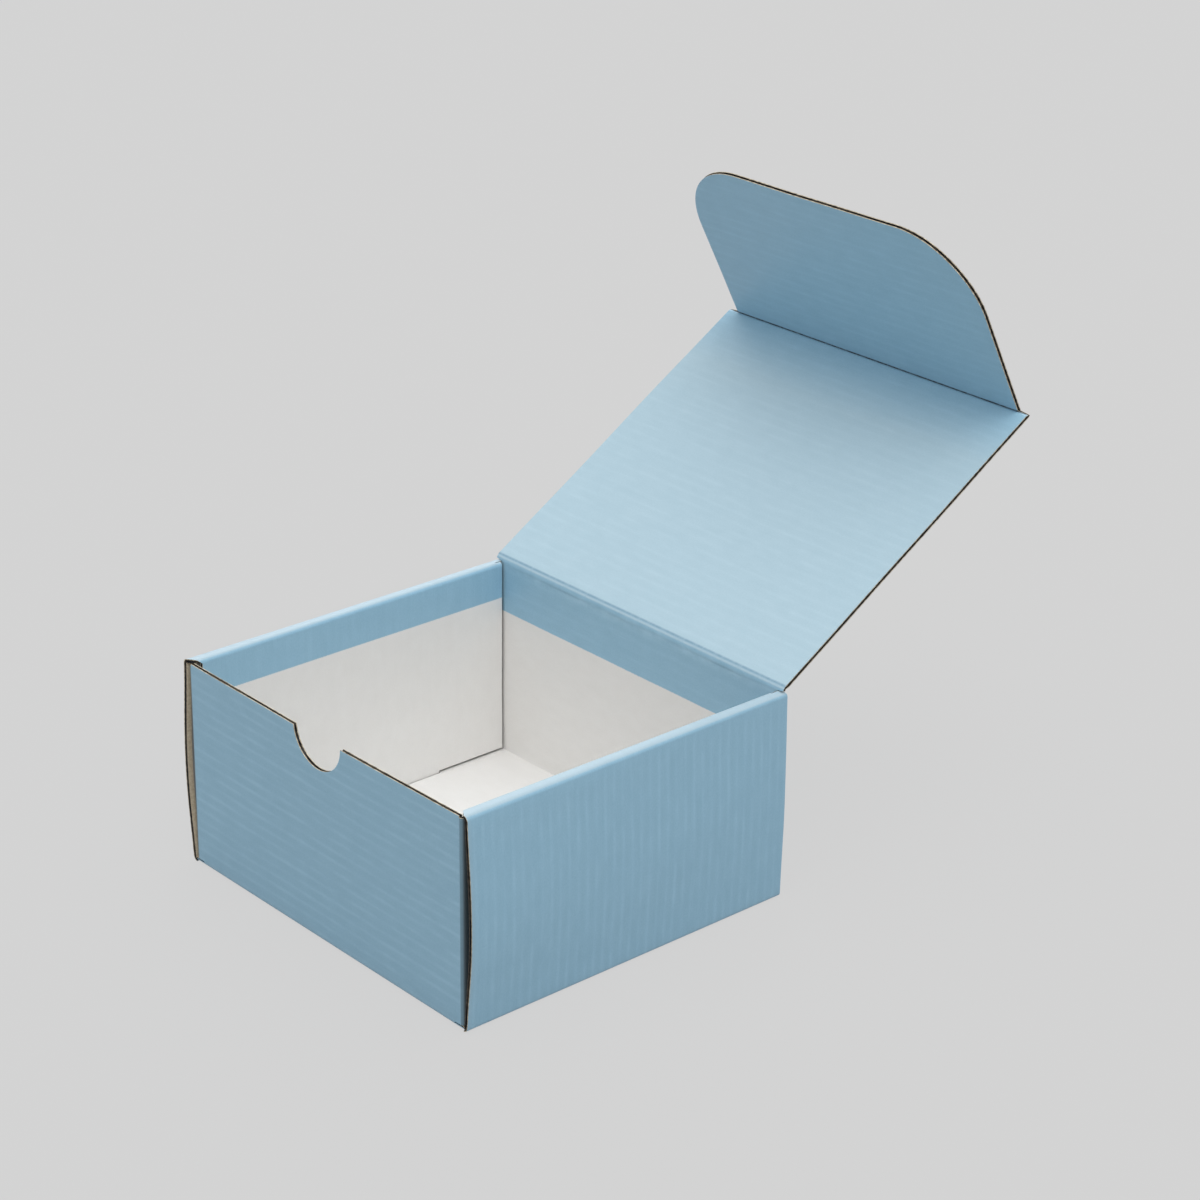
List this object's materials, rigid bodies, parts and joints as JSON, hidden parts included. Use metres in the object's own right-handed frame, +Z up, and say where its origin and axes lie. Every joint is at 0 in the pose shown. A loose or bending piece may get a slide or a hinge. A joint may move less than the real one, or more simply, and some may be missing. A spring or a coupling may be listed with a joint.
{
  "type": "thumb cut mailer box",
  "caption": "Small corrugated mailer box with rolled side walls, a thumb cut in the front panel, and a hinged lid with a round-cornered tuck flap.",
  "frame": {"origin": "centre of the flat base, on the underside of the floor panel", "axes": "+X along the front panel to the right, +Y from the front panel to the hinged back panel, +Z up"},
  "size_m": [0.132, 0.2207, 0.1883],
  "materials": {
    "tray_board": "blue printed corrugated board, matt",
    "lid_board": "blue printed corrugated board, matt",
    "flap_board": "blue printed corrugated board, matt"
  },
  "bodies": {
    "tray": {"tray": "tray_board"},
    "lid": {"lid": "lid_board"},
    "tuck_flap": {"tuck_flap": "flap_board"}
  },
  "joints": [
    {"name": "lid_hinge", "type": "hinge", "parent": "tray", "child": "lid", "pos_m": [0, 0.05965, 0.06855], "axis": [1, 0, 0], "range_deg": [-51.5, 148.5]},
    {"name": "flap_hinge", "type": "hinge", "parent": "lid", "child": "tuck_flap", "pos_m": [0, 0.16001, 0.13005], "axis": [1, 0, 0], "range_deg": [-9.5, 27]}
  ],
  "couplings": [
    {"joint": "flap_hinge", "follows": "lid_hinge", "ratio": 0.18}
  ]
}
